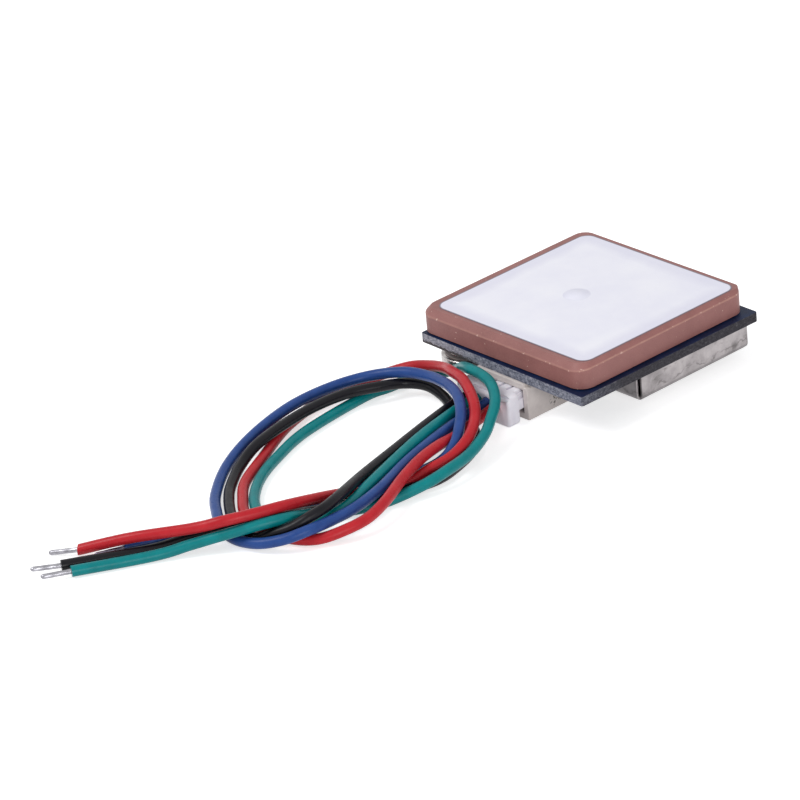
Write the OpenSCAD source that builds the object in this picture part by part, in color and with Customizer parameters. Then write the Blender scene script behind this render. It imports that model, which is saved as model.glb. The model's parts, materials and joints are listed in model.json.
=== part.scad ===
// Satellite receiver module: a ceramic patch antenna stuck on a small circuit board, with a shield
// can, a backup cell and a side-entry connector below it, and a four-wire lead with bare ends.
// Millimetres. +Z points up through the antenna, the connector opens towards -Y.

/* [Circuit board] */
// Width of the board, along X
pcb_w = 18.8; // [18.2:0.1:24]
// Length of the board, along Y
pcb_l = 18.6; // [18:0.1:24]
// Thickness of the board
pcb_t = 0.8; // [0.6:0.1:1.6]
// Radius of the board's corners
pcb_corner_r = 0.2; // [0.1:0.1:1.2]

/* [Antenna] */
// Side of the square ceramic block
ceramic_side = 18; // [17.4:0.1:20]
// Thickness of the ceramic block
ceramic_t = 2; // [1.5:0.1:4]
// Radius of the block's upright corners
ceramic_corner_r = 1.3; // [0.6:0.1:2.5]
// Bevel around the block's top face
ceramic_bevel = 0.4; // [0.1:0.05:0.5]
// Distance of the block from the board's left edge
ceramic_inset_x = 0.05; // [0:0.05:0.6]
// Distance of the block from the board's front edge
ceramic_inset_y = 0.1; // [0:0.05:0.5]
// How far the adhesive pad ends inside the block's sides
pad_inset = 0.4; // [0.3:0.05:1.5]
// Thickness of the adhesive pad
pad_t = 0.1; // [0.05:0.05:0.4]
// Bare border of the block's top, left of the silver print
border_left = 1; // [0.5:0.05:3]
// Bare border right of the silver print
border_right = 0.6; // [0.5:0.05:3]
// Bare border in front of the silver print
border_front = 0.9; // [0.5:0.05:3]
// Bare border behind the silver print
border_far = 0.45; // [0.4:0.05:3]
// Thickness of the silver print
electrode_t = 0.03; // [0.02:0.01:0.1]
// Radius of the print's corners
electrode_corner_r = 1; // [0.3:0.1:2]

/* [Feed pin] */
// Diameter of the pin that joins the silver print to the board
feed_pin_d = 0.8; // [0.5:0.05:1.1]
// Distance of the pin left of the block's middle
feed_offset = 0.5; // [0:0.1:1]
// Width of the solder dome on top of the pin
feed_dome_d = 1.7; // [1.5:0.1:2.4]
// Height of the solder dome
feed_dome_h = 0.3; // [0.2:0.05:0.5]
// Length of the pin below the board
feed_tail = 0.45; // [0.3:0.05:0.7]
// Play of the pin in its holes, all round
feed_clear = 0.1; // [0.05:0.05:0.2]
// Width of the solder fillet round the pin below the board
feed_fillet = 0.4; // [0.2:0.05:0.6]
// Length of the pin that stands out of the fillet
feed_tip = 0.05; // [0.05:0.05:0.15]

/* [Shield can] */
// Width of the can, along X
can_w = 11.4; // [11.2:0.1:11.8]
// Length of the can, along Y
can_l = 12.3; // [12:0.1:12.6]
// Height of the can below the board
can_h = 2.25; // [1.8:0.05:2.5]
// Sheet thickness of the can
can_sheet = 0.2; // [0.1:0.05:0.3]
// Outer radius of the can's folds
can_fold_r = 0.5; // [0.35:0.05:0.6]
// Width of the open slit at each upright corner
can_slit = 0.1; // [0.05:0.05:0.4]
// Distance of the can's middle from the feed pin, along X
can_offset_x = 3.95; // [3.7:0.05:4.1]
// Distance of the can's middle from the feed pin, along Y
can_offset_y = 2.95; // [2.7:0.05:3.1]

/* [Backup cell] */
// Diameter of the coin cell
cell_d = 4.8; // [4:0.1:4.9]
// Height of the coin cell
cell_h = 1.2; // [1:0.1:1.4]
// Gap between the cell and the board
cell_gap = 0.95; // [0.4:0.05:1]
// Height of the cap that stands out of the cell's cup
cell_cap_h = 0.3; // [0.15:0.05:0.4]
// Width of the cup's rim round the cap
cell_rim = 0.5; // [0.35:0.05:0.7]
// Radius of the cup's edges
cell_edge_r = 0.15; // [0.05:0.05:0.25]
// Width of the gasket ring
cell_gasket_w = 0.2; // [0.1:0.02:0.28]
// Height of the gasket ring
cell_gasket_h = 0.12; // [0.05:0.01:0.14]
// Thickness of the solder tabs
tab_t = 0.1; // [0.08:0.02:0.2]
// Width of the solder tabs
tab_w = 1.2; // [0.8:0.1:1.6]
// Distance of each tab's middle from the cell's middle, along X
tab_spread = 0.9; // [0.85:0.05:1.2]
// Gap between the cell and the upright legs of the tabs
tab_gap = 0.3; // [0.1:0.1:0.5]
// Distance of the cell's middle from the board's left edge
cell_inset_x = 2.5; // [2.5:0.1:2.8]
// Distance of the cell's middle from the board's front edge
cell_inset_y = 3.1; // [3:0.05:3.4]

/* [Connector header] */
// Number of contacts
contacts = 4; // [4:1:4]
// Distance between contacts
pitch = 1; // [1:0.05:1.25]
// Housing beyond the outer contacts, each side
header_side = 1.5; // [1.4:0.1:1.8]
// Height of the header, which is also the board's height above the ground
header_h = 3; // [2.9:0.1:3.6]
// Depth of the header, along Y
header_d = 4.25; // [4:0.05:4.5]
// Wall of the header around its mouth
header_wall = 0.5; // [0.3:0.05:0.55]
// Rear wall of the header
header_back = 0.8; // [0.5:0.1:1]
// How far the mouth stands out beyond the board's edge
header_overhang = 0.5; // [0.2:0.1:0.8]
// Distance of the header from the board's middle, along X
header_x = 0.1; // [-0.2:0.1:0.4]
// Height of the contacts' middle above the ground
contact_z = 1.6; // [1.5:0.05:1.7]
// Thickness of a contact blade
contact_t = 0.3; // [0.2:0.02:0.34]
// Width of a contact blade
blade_w = 0.36; // [0.24:0.02:0.4]
// Play of a blade in the header's rear wall, all round
blade_clear = 0.02; // [0.01:0.01:0.04]
// Gap between a blade's tip and the mouth
contact_setback = 0.6; // [0.4:0.1:1]
// Length of a contact's solder foot
contact_foot = 0.8; // [0.5:0.1:1]
// Thickness of the fixing nails
nail_t = 0.2; // [0.1:0.05:0.25]
// Length of a fixing nail, along Y
nail_l = 1.2; // [0.8:0.1:1.6]
// Height of a fixing nail's plate
nail_h = 0.9; // [0.6:0.1:1.2]
// Reach of a fixing nail's foot beside the header
nail_foot = 0.6; // [0.4:0.1:0.7]
// Distance of a fixing nail from the header's rear face
nail_setback = 0.7; // [0.4:0.1:1]
// Width of the notch in each upper front corner of the header
notch_w = 0.4; // [0.2:0.05:0.45]
// Depth of that notch, along Y
notch_d = 0.5; // [0.3:0.05:0.8]
// Height of that notch
notch_h = 0.3; // [0.1:0.05:0.5]

/* [Plug] */
// Width of the plug's head
plug_head_w = 5.8; // [5.4:0.1:6.2]
// Height of the plug's head
plug_head_h = 2.6; // [2.5:0.05:2.9]
// Depth of the plug's head, along Y
plug_head_d = 1.1; // [0.8:0.1:1.3]
// Radius of the head's long edges
plug_edge_r = 0.45; // [0.1:0.05:0.6]
// Depth of the step along the head's upper rear edge
plug_step_d = 0.3; // [0.1:0.05:0.5]
// Height of that step
plug_step_h = 0.2; // [0.1:0.05:0.4]
// Gap between the head and the header's mouth
plug_gap = 0.85; // [0.5:0.05:1]
// Gap between the plug's nose and the header's rear wall
plug_nose_gap = 0.15; // [0.1:0.05:0.4]
// Play of the plug in the header, all round
plug_clear = 0.05; // [0.03:0.01:0.1]
// Gap between the nose and the floor of the mouth
plug_lift = 0.45; // [0.1:0.05:0.55]
// Number of guide ribs on the nose
ribs = 5; // [3:1:7]
// Width of a guide rib
rib_w = 0.62; // [0.3:0.02:0.66]
// Height of a guide rib
rib_h = 0.25; // [0.1:0.05:0.3]
// Width of the guide tongue on each side of the nose
tongue_w = 0.2; // [0.1:0.05:0.3]
// Height of the guide tongues
tongue_h = 0.8; // [0.4:0.1:1]
// Side of the square socket end of a terminal
socket_side = 0.72; // [0.66:0.02:0.8]
// Wall of the socket end
socket_wall = 0.1; // [0.06:0.02:0.12]
// Length of the socket end
socket_l = 2.8; // [2.4:0.1:3]
// Distance of the socket end from the plug's nose
socket_setback = 0.4; // [0.2:0.1:0.6]
// Play of a terminal in the plug, all round
terminal_clear = 0.03; // [0.02:0.01:0.05]

/* [Wires] */
// Diameter of a wire over its insulation
wire_d = 0.86; // [0.7:0.02:0.9]
// Diameter of a tinned wire end
strand_d = 0.4; // [0.3:0.02:0.5]
// Length of a tinned wire end
bare_l = 2.3; // [1.5:0.1:4]

/* [Parts under the can] */
// Side of the receiver chip
chip_side = 6; // [5:0.1:6.6]
// Height of the receiver chip
chip_h = 0.85; // [0.6:0.05:1]
// Distance of the chip's middle from the can's right side
chip_inset_x = 3.8; // [3.7:0.05:4]
// Distance of the chip's middle from the can's far side
chip_inset_y = 4.8; // [4.6:0.05:5]
// Height of the crystal cans
crystal_h = 0.75; // [0.5:0.05:0.9]
// Width of the rim round a crystal's lid
crystal_rim = 0.18; // [0.1:0.02:0.3]
// Length of the reference oscillator
oscillator_l = 2.5; // [2:0.1:2.6]
// Width of the reference oscillator
oscillator_w = 2; // [1.6:0.1:2.2]
// Length of the clock crystal
clock_l = 3.2; // [2:0.1:3.4]
// Width of the clock crystal
clock_w = 1.5; // [1:0.1:1.6]
// Length of the flash memory
flash_l = 3; // [2:0.1:3.2]
// Width of the flash memory
flash_w = 2; // [1.6:0.1:2.2]
// Length of the antenna filter
filter_l = 1.4; // [1.1:0.1:1.6]
// Width of the antenna filter
filter_w = 1.1; // [0.9:0.1:1.3]
// Side of the low-noise amplifier
amplifier_side = 1.2; // [1:0.1:1.4]
// Height of the small packages
small_h = 0.5; // [0.3:0.05:0.7]
// Distance of the antenna parts from the can's left side
column_x = 1.9; // [1.6:0.05:2]
// Distance of the antenna filter from the feed pin
filter_y = 2.2; // [2:0.05:2.3]
// Distance from one antenna part to the next
column_step = 2.1; // [2:0.05:2.3]
// Distance of the clock crystal's middle from the can's left side
clock_x = 5.2; // [4.8:0.1:5.4]
// Distance of the flash memory's middle from the can's right side
flash_x = 2.2; // [2:0.1:2.3]
// Distance of both from the can's front side
front_row = 1.6; // [1.5:0.05:1.7]
// Length of a small passive part
passive_l = 1; // [0.8:0.05:1.1]
// Width and height of a small passive part
passive_w = 0.5; // [0.4:0.05:0.55]
// Gap between the chip and the passive parts round it
passive_gap = 0.2; // [0.1:0.05:0.25]
// Distance from one small passive part to the next
passive_step = 1.7; // [1.4:0.1:2]

/* [Parts beside the can] */
// Length of a large passive part
bulk_l = 1.6; // [1.4:0.1:1.8]
// Width and height of a large passive part
bulk_w = 0.8; // [0.6:0.05:1]
// Length of the voltage regulator's body
regulator_l = 2.9; // [2.6:0.1:3.1]
// Width of the voltage regulator's body
regulator_w = 1.6; // [1.4:0.1:1.8]
// Height of the voltage regulator
regulator_h = 1.1; // [0.8:0.05:1.2]
// Gap between the regulator's body and the board
regulator_stand = 0.1; // [0.05:0.05:0.2]
// Width of a regulator foot
foot_w = 0.4; // [0.3:0.05:0.5]
// Thickness of a regulator foot
foot_t = 0.15; // [0.1:0.01:0.2]
// Reach of a regulator foot beyond the body
foot_reach = 0.6; // [0.4:0.05:0.7]
// Distance between the regulator's feet
foot_pitch = 0.95; // [0.8:0.05:1.1]
// Distance of the regulator's middle from the cell's middle, along X
regulator_x = 0.4; // [0:0.1:0.6]
// Distance of the regulator's middle from the cell's middle, along Y
regulator_y = 7.65; // [7.3:0.05:8]
// Distance of the large passive parts from the regulator
bulk_step = 2.9; // [2.7:0.1:3]

/* [Hidden] */
ROUND = 48;
CUT = 0.5;

// Heights of the stack, from the ground up
board_z = header_h;
board_top = board_z + pcb_t;
ceramic_z = board_top + pad_t;
ceramic_top = ceramic_z + ceramic_t;
electrode_top = ceramic_top + electrode_t;

// Edges of the board, and the middle of the block and of the silver print
total_l = pcb_l + header_overhang;
board_y = header_overhang / 2;
board_left = -pcb_w / 2;
board_front = board_y - pcb_l / 2;
ceramic_x = board_left + ceramic_inset_x + ceramic_side / 2;
ceramic_y = board_front + ceramic_inset_y + ceramic_side / 2;
pad_side = ceramic_side - 2 * pad_inset;
electrode_w = ceramic_side - border_left - border_right;
electrode_l = ceramic_side - border_front - border_far;
electrode_x = ceramic_x + (border_left - border_right) / 2;
electrode_y = ceramic_y + (border_front - border_far) / 2;

// Feed pin
feed_at = [ceramic_x - feed_offset, ceramic_y];
feed_hole_d = feed_pin_d + 2 * feed_clear;
feed_stub = feed_dome_h / 2;
feed_joint_h = feed_tail - feed_tip;
DOME_TURN = 15;

// Shield can and the parts under it
can_x = feed_at[0] + can_offset_x;
can_y = feed_at[1] + can_offset_y;
can_z = board_z - can_h;
can_corner_cut = can_sheet + can_slit;
can_left = can_x - can_w / 2;
can_right = can_x + can_w / 2;
can_front = can_y - can_l / 2;
can_far = can_y + can_l / 2;
chip_x = can_right - chip_inset_x;
chip_y = can_far - chip_inset_y;
passive_ring = chip_side / 2 + passive_gap + passive_w / 2;

// Backup cell, hung below the board by its tabs
cell_x = board_left + cell_inset_x;
cell_y = board_front + cell_inset_y;
cell_top = board_z - cell_gap;
cell_bottom = cell_top - cell_h;
cell_r = cell_d / 2;
cell_cap_r = cell_r - cell_rim;
cup_h = cell_h - cell_cap_h;

// Connector
header_w = (contacts - 1) * pitch + 2 * header_side;
mouth_y = -total_l / 2;
header_rear = mouth_y + header_d;
mouth_w = header_w - 2 * header_wall;
mouth_h = header_h - 2 * header_wall;
mouth_d = header_d - header_back;
function contact_x(i) = header_x + (i - (contacts - 1) / 2) * pitch;

// Plug
plug_front = mouth_y - plug_gap;
plug_rear = plug_front - plug_head_d;
tongues_w = mouth_w - 2 * plug_clear;
nose_w = tongues_w - 2 * tongue_w;
nose_low = header_wall + plug_lift;
nose_h = header_wall + mouth_h - plug_clear - rib_h - nose_low;
nose_l = plug_gap + mouth_d - plug_nose_gap;
rib_pitch = nose_w / ribs;
socket_hole = socket_side + 2 * terminal_clear;
barrel_hole_d = wire_d + 2 * terminal_clear;
socket_end = mouth_y + mouth_d - plug_nose_gap - socket_setback;
socket_start = socket_end - socket_l;

// Routes of the wires after they leave the plug, as they lie in a loose knot
WIRES = ["black", "green", "blue", "red"];
WIRE_COLOURS = ["#1d1d20", "#0a827d", "#2d4b96", "#c32832"];
ROUTES = [
    [
        [-1.3, -13, 1.55], [-0.6, -16.7, 1.45], [0.6, -21.3, 1.45], [2, -25.7, 1.65],
        [3.9, -29.5, 2.3], [4.6, -31.7, 2.35], [4.5, -33.3, 2.1], [3.8, -34.6, 1.5],
        [2.7, -35.5, 1], [1.6, -36.1, 0.55], [0.4, -36.3, 0.5], [-1.2, -35.8, 0.5],
        [-3, -34.7, 0.5], [-4.8, -33.3, 0.5], [-6.3, -31.8, 0.5], [-7.9, -29.4, 0.75],
        [-8.8, -26.5, 1.35], [-9.7, -21.3, 1.45], [-9.5, -17.2, 1.45], [-8.4, -14.3, 1.35],
        [-7.6, -12.4, 1.1], [-6.2, -11.5, 0.95], [-4.5, -11.5, 0.65], [-2.6, -12.2, 0.5],
        [-0.4, -12.9, 0.5], [2, -14.2, 0.5], [3.8, -16.1, 0.5], [4.9, -18.8, 0.5],
        [5.3, -21.5, 0.5], [4.4, -24.7, 0.5], [3.5, -26.8, 0.5], [2.5, -29.1, 0.5],
        [1.8, -31.3, 0.75], [1.7, -33.5, 1.4], [1.2, -35.4, 1.5], [0.1, -37.5, 1.5],
        [-1.9, -39.7, 0.95], [-3.4, -42.2, 0.5], [-6.8, -48, 0.5]
    ],
    [
        [-0.3, -13.2, 1.7], [0.9, -18.9, 1.65], [2.9, -25.2, 1.5], [4, -28.6, 1.35],
        [4.4, -30.6, 1.35], [3.9, -32.2, 1], [2.9, -33.4, 0.6], [1.4, -33.9, 0.5],
        [-0.3, -33.8, 0.5], [-1.9, -33.1, 0.5], [-3.7, -31.7, 0.5], [-5.5, -29.5, 0.5],
        [-7, -26.6, 0.5], [-8.6, -22.1, 0.5], [-9.4, -15.4, 0.5], [-9.1, -13, 0.5],
        [-8.8, -11, 0.5], [-7.9, -9.4, 0.6], [-6.4, -8.8, 1.1], [-4.8, -9.3, 2], [-3.5, -10, 2.8],
        [-1.9, -10.8, 3.45], [-0.2, -11.1, 3.55], [1.4, -11.6, 3.4], [3, -12.8, 2.95],
        [4.1, -14.4, 2.4], [5, -16, 1.95], [5.7, -18.3, 1.5], [6.1, -21.1, 1.35],
        [5.8, -23.4, 0.95], [4.8, -26.5, 0.5], [3.4, -29.5, 0.55], [2.7, -31.8, 1.1],
        [2.9, -34, 1.8], [2.3, -35.9, 1.9], [1.1, -37.7, 1.6], [-0.9, -40.2, 0.95],
        [-2.5, -42.7, 0.5], [-5.5, -48.1, 0.5]
    ],
    [
        [0.9, -13.7, 1.55], [1.5, -17.4, 1.45], [2.7, -21.8, 1.45], [4.4, -26.1, 1.5],
        [5.2, -29.4, 1.5], [5.3, -31.8, 1.5], [5.1, -34.2, 1.5], [4.1, -35.8, 1.1],
        [2.4, -36.9, 0.7], [0.2, -37.2, 0.5], [-1.8, -36.6, 0.5], [-3.9, -35.3, 0.5],
        [-6.2, -33.4, 0.5], [-8.8, -30, 0.65], [-10.4, -26.1, 1.05], [-11.3, -21.5, 1.4],
        [-11.4, -17.4, 1.4], [-10.2, -14.2, 1.6], [-7.6, -12.6, 2.15], [-5.1, -12.2, 2.4],
        [-3.2, -12.6, 2.7], [-1.5, -13.2, 2.95], [0.3, -14.1, 3], [1.7, -15.2, 2.75],
        [2.7, -16.3, 2.35], [3.7, -17.8, 1.65], [3.9, -19.3, 0.95], [3.4, -20.8, 0.5],
        [2.7, -22.9, 0.5], [1.7, -25.6, 0.5], [1, -28.2, 0.5], [0.6, -31.2, 0.7],
        [0.7, -33.5, 1.35], [0.1, -35.5, 1.5], [-0.9, -37.3, 1.45], [-3.2, -39.2, 0.75],
        [-4.3, -41.3, 0.5], [-5.2, -43.3, 0.5]
    ],
    [
        [2.1, -14.1, 1.5], [2.4, -16.4, 1.3], [3, -18.8, 1.65], [3.7, -21.4, 1.75],
        [4.8, -24.3, 1.65], [6.2, -27.3, 1.5], [6.8, -29.7, 1.25], [6.4, -31.8, 0.95],
        [5.4, -33.4, 0.6], [3.9, -34.4, 0.5], [1.9, -34.8, 0.5], [-0.3, -34.8, 0.5],
        [-2.2, -34, 0.5], [-3.9, -32.7, 0.5], [-5.9, -30.7, 0.5], [-7.9, -27.2, 0.5],
        [-10.4, -22.4, 0.5], [-11.7, -17.4, 0.5], [-11.7, -14.1, 0.5], [-11, -11.8, 0.6],
        [-9.3, -10.4, 1.25], [-7.4, -10, 1.75], [-5.4, -10.3, 2.3], [-3.3, -11.3, 2.95],
        [-0.8, -12.4, 3.35], [1.9, -14, 3.05], [3.4, -15.4, 2.5], [4.5, -17.2, 2.05],
        [4.8, -19.2, 1.45], [4.3, -21.1, 0.95], [3.8, -23.6, 0.5], [2.5, -26.4, 0.6],
        [2.3, -28.6, 1.3], [2.3, -33.2, 2.4], [1.6, -36.1, 2.6], [0.5, -38.2, 2.5],
        [-1.2, -39.8, 2], [-4.5, -43.1, 1.5], [-7.7, -45.6, 0.5]
    ]
];
TUBE_SIDES = 8;
TUBE_STEPS = 2;

// Whole route of a wire: its exit from the plug, then its chosen points
function route(i) = concat([[contact_x(i), plug_rear, contact_z]], ROUTES[i]);
function point(r, i) =
    i < 0 ? 2 * r[0] - r[1]
    : i >= len(r) ? 2 * r[len(r) - 1] - r[len(r) - 2]
    : r[i];

// Smooth curve through four points, at t from 0 to 1 between the middle two
function curve(a, b, c, d, t) =
    b + (c - a) * t / 2
    + (2 * a - 5 * b + 4 * c - d) * pow(t, 2) / 2
    + (3 * b - 3 * c + d - a) * pow(t, 3) / 2;
function path(r) = [
    for (i = [0 : len(r) - 2])
        for (s = [0 : TUBE_STEPS - 1])
            curve(point(r, i - 1), point(r, i), point(r, i + 1), point(r, i + 2), s / TUBE_STEPS),
    r[len(r) - 1]
];
function unit(v) = v / norm(v);
function level(v) = unit([v[0], v[1], 0]);
function end_heading(r) = level(r[len(r) - 1] - r[len(r) - 2]);

// Direction of the tube at sample j: square to the plug at the start, level at the end
function heading(p, j, last) =
    j == 0 ? [0, -1, 0]
    : j == len(p) - 1 ? last
    : unit(p[j + 1] - p[j - 1]);
function ring(at, along, r) =
    let (side = unit(cross(along, [0, 0, 1])), up = cross(side, along))
    [for (k = [0 : TUBE_SIDES - 1])
        let (a = 360 * k / TUBE_SIDES)
        at + r * (cos(a) * side + sin(a) * up)];

module rounded_rect(w, l, r) {
    square([w - 2 * r, l], center = true);
    square([w, l - 2 * r], center = true);
    for (x = [-1, 1])
        for (y = [-1, 1])
            translate([x * (w / 2 - r), y * (l / 2 - r)])
                circle(r, $fn = ROUND);
}

module rounded_plate(w, l, r, t) {
    linear_extrude(t)
        rounded_rect(w, l, r);
}

// Flat-topped outline on rounded lower corners, standing on y = 0
module rounded_foot(w, h, r) {
    translate([-w / 2, r])
        square([w, h - r]);
    translate([-w / 2 + r, 0])
        square([w - 2 * r, h]);
    for (x = [-1, 1])
        translate([x * (w / 2 - r), r])
            circle(r, $fn = ROUND);
}

// Section of a folded tray: base, two folds and two walls
module tray_section(w, h, sheet, r) {
    difference() {
        rounded_foot(w, h, r);
        translate([0, sheet])
            rounded_foot(w - 2 * sheet, h + CUT, r - sheet);
    }
}

// Half section of the block's edge, from its bottom to the bevelled top
module bevelled_section(reach) {
    polygon([
        [0, 0], [reach, 0], [reach, ceramic_t - ceramic_bevel],
        [reach - ceramic_bevel, ceramic_t], [0, ceramic_t]
    ]);
}

module feed_bore(d, z, h) {
    translate([feed_at[0], feed_at[1], z - CUT])
        cylinder(d = d, h = h + 2 * CUT, $fn = ROUND);
}

// Box hung below the board, on the board's underside
module below_board(x, y, size) {
    translate([x - size[0] / 2, y - size[1] / 2, board_z - size[2]])
        cube(size);
}

// Chip part with two metal end caps that stand proud of its body
module passive(x, y, l, w, turn) {
    cap = l / 4;
    lip = w / 25;
    translate([x, y, board_z])
        rotate(turn)
            union() {
                translate([-l / 2 + cap / 2, -w / 2 + lip, -w + lip])
                    cube([l - cap, w - 2 * lip, w - 2 * lip]);
                for (s = [-1, 1])
                    translate([s * (l - cap) / 2 - cap / 2, -w / 2, -w])
                        cube([cap, w, w]);
            }
}

module circuit_board() {
    color("#1c3350")
        difference() {
            translate([0, board_y, board_z])
                rounded_plate(pcb_w, pcb_l, pcb_corner_r, pcb_t);
            feed_bore(feed_hole_d, board_z, pcb_t);
        }
}

module adhesive_pad() {
    color("#101418")
        difference() {
            translate([ceramic_x, ceramic_y, board_top])
                rounded_plate(pad_side, pad_side, ceramic_corner_r, pad_t);
            feed_bore(feed_hole_d, board_top, pad_t);
        }
}

module antenna_ceramic() {
    straight = ceramic_side - 2 * ceramic_corner_r;
    color("#9a6a60")
        difference() {
            translate([ceramic_x, ceramic_y, ceramic_z])
                union() {
                    for (turn = [0 : 90 : 270])
                        rotate(turn) {
                            rotate([90, 0, 0])
                                linear_extrude(straight, center = true)
                                    bevelled_section(ceramic_side / 2);
                            translate([straight / 2, straight / 2, 0])
                                rotate_extrude($fn = ROUND)
                                    bevelled_section(ceramic_corner_r);
                        }
                }
            feed_bore(feed_hole_d, ceramic_z, ceramic_t);
        }
}

module antenna_electrode() {
    color("#e6e6f2")
        difference() {
            translate([electrode_x, electrode_y, ceramic_top])
                rounded_plate(electrode_w, electrode_l, electrode_corner_r, electrode_t);
            feed_bore(feed_hole_d, ceramic_top, electrode_t);
        }
}

module feed_pin() {
    bottom = board_z - feed_tail;
    color("#c9c9c4")
        translate([feed_at[0], feed_at[1], bottom])
            cylinder(d = feed_pin_d, h = electrode_top + feed_stub - bottom, $fn = ROUND);
}

// Low dome of solder over the pin's head
module feed_solder() {
    base_r = feed_dome_d / 2;
    arc = [for (a = [0 : DOME_TURN : 90]) [base_r * cos(a), feed_dome_h * sin(a)]];
    color("#d5d5dc")
        difference() {
            translate([feed_at[0], feed_at[1], electrode_top])
                rotate_extrude($fn = ROUND)
                    polygon(concat([[0, 0]], arc));
            translate([feed_at[0], feed_at[1], electrode_top - CUT])
                cylinder(d = feed_pin_d, h = feed_stub + CUT, $fn = ROUND);
        }
}

// Solder cone round the pin's tail
module feed_joint() {
    color("#d5d5dc")
        difference() {
            translate([feed_at[0], feed_at[1], board_z - feed_joint_h])
                cylinder(
                    d1 = feed_pin_d + feed_clear, d2 = feed_pin_d + 2 * feed_fillet,
                    h = feed_joint_h, $fn = ROUND
                );
            feed_bore(feed_pin_d, board_z - feed_joint_h, feed_joint_h);
        }
}

module shield_can() {
    color("#a9a69d")
        translate([can_x, can_y, can_z])
            union() {
                rotate([90, 0, 0])
                    linear_extrude(can_l - 2 * can_corner_cut, center = true)
                        tray_section(can_w, can_h, can_sheet, can_fold_r);
                rotate([90, 0, 90])
                    linear_extrude(can_w - 2 * can_corner_cut, center = true)
                        tray_section(can_l, can_h, can_sheet, can_fold_r);
            }
}

module receiver_chip() {
    mark_d = 0.5;
    mark_depth = 0.05;
    mark_inset = 0.7;
    color("#2a2a2e")
        difference() {
            below_board(chip_x, chip_y, [chip_side, chip_side, chip_h]);
            translate([
                chip_x - chip_side / 2 + mark_inset, chip_y + chip_side / 2 - mark_inset,
                board_z - chip_h - CUT
            ])
                cylinder(d = mark_d, h = CUT + mark_depth, $fn = ROUND);
        }
}

// Antenna parts stand in a column that starts at the feed pin
module saw_filter() {
    color("#c8b06a")
        below_board(can_left + column_x, feed_at[1] + filter_y, [filter_l, filter_w, small_h]);
}

module low_noise_amplifier() {
    color("#2a2a2e")
        below_board(
            can_left + column_x, feed_at[1] + filter_y + column_step,
            [amplifier_side, amplifier_side, small_h]
        );
}

// Metal-lidded package: ceramic base with a smaller lid
module lidded_package(x, y, size) {
    lid = size[2] / 3;
    union() {
        below_board(x, y, [size[0], size[1], size[2] - lid]);
        translate([0, 0, lid - size[2]])
            below_board(x, y, [size[0] - 2 * crystal_rim, size[1] - 2 * crystal_rim, lid]);
    }
}

module reference_oscillator() {
    color("#d8c890")
        lidded_package(
            can_left + column_x, feed_at[1] + filter_y + 2 * column_step,
            [oscillator_l, oscillator_w, crystal_h]
        );
}

module clock_crystal() {
    color("#d8d2c0")
        lidded_package(can_left + clock_x, can_front + front_row, [clock_l, clock_w, crystal_h]);
}

module flash_memory() {
    color("#2a2a2e")
        below_board(can_right - flash_x, can_front + front_row, [flash_l, flash_w, small_h]);
}

module rf_inductor() {
    color("#8a8f98")
        passive(
            can_left + column_x + amplifier_side / 2 + passive_gap + passive_w / 2,
            feed_at[1] + filter_y + column_step, passive_l, passive_w, 90
        );
}

// Rows along the chip's left and far sides
module decoupling_capacitors() {
    color("#b08a62")
        for (i = [-1 : 1]) {
            passive(chip_x - passive_ring, chip_y + i * passive_step, passive_l, passive_w, 90);
            passive(chip_x + i * passive_step, chip_y + passive_ring, passive_l, passive_w, 0);
        }
}

// Row along the chip's front side
module resistors() {
    color("#303238")
        for (i = [-1 : 1])
            passive(chip_x + i * passive_step, chip_y - passive_ring, passive_l, passive_w, 0);
}

module bulk_capacitors() {
    color("#b08a62")
        for (s = [-1, 1])
            passive(cell_x + regulator_x, cell_y + regulator_y + s * bulk_step, bulk_l, bulk_w, 0);
}

// Gull-wing foot of the regulator, drawn in the plane across its row
module gull_foot() {
    out = regulator_w / 2;
    top = regulator_h / 2;
    polygon([
        [out - foot_t, top], [out + foot_t, top], [out + foot_t, foot_t], [out + foot_reach, foot_t],
        [out + foot_reach, 0], [out, 0], [out, top - foot_t], [out - foot_t, top - foot_t]
    ]);
}

// Three feet on the far side and two on the near side
module voltage_regulator() {
    color("#26262a")
        translate([cell_x + regulator_x, cell_y + regulator_y, board_z])
            mirror([0, 0, 1])
                union() {
                    translate([-regulator_l / 2, -regulator_w / 2, regulator_stand])
                        cube([regulator_l, regulator_w, regulator_h - regulator_stand]);
                    for (i = [-1 : 1])
                        translate([i * foot_pitch, 0, 0])
                            rotate([90, 0, 90])
                                linear_extrude(foot_w, center = true)
                                    gull_foot();
                    for (i = [-1, 1])
                        translate([i * foot_pitch, 0, 0])
                            rotate([90, 0, -90])
                                linear_extrude(foot_w, center = true)
                                    gull_foot();
                }
}

// Closed cup of the cell, rounded at both edges
module battery_can() {
    flat_r = cell_r - cell_edge_r;
    color("#c4c2bd")
        translate([cell_x, cell_y, cell_bottom])
            rotate_extrude($fn = ROUND) {
                square([flat_r, cup_h]);
                translate([0, cell_edge_r])
                    square([cell_r, cup_h - 2 * cell_edge_r]);
                for (h = [cell_edge_r, cup_h - cell_edge_r])
                    translate([flat_r, h])
                        circle(cell_edge_r, $fn = ROUND);
            }
}

module battery_gasket() {
    color("#3a3a3c")
        translate([cell_x, cell_y, cell_bottom + cup_h])
            rotate_extrude($fn = ROUND)
                translate([cell_cap_r, 0])
                    square([cell_gasket_w, cell_gasket_h]);
}

module battery_cap() {
    color("#cfcdc8")
        translate([cell_x, cell_y, cell_bottom + cup_h])
            cylinder(r = cell_cap_r, h = cell_cap_h, $fn = ROUND);
}

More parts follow.
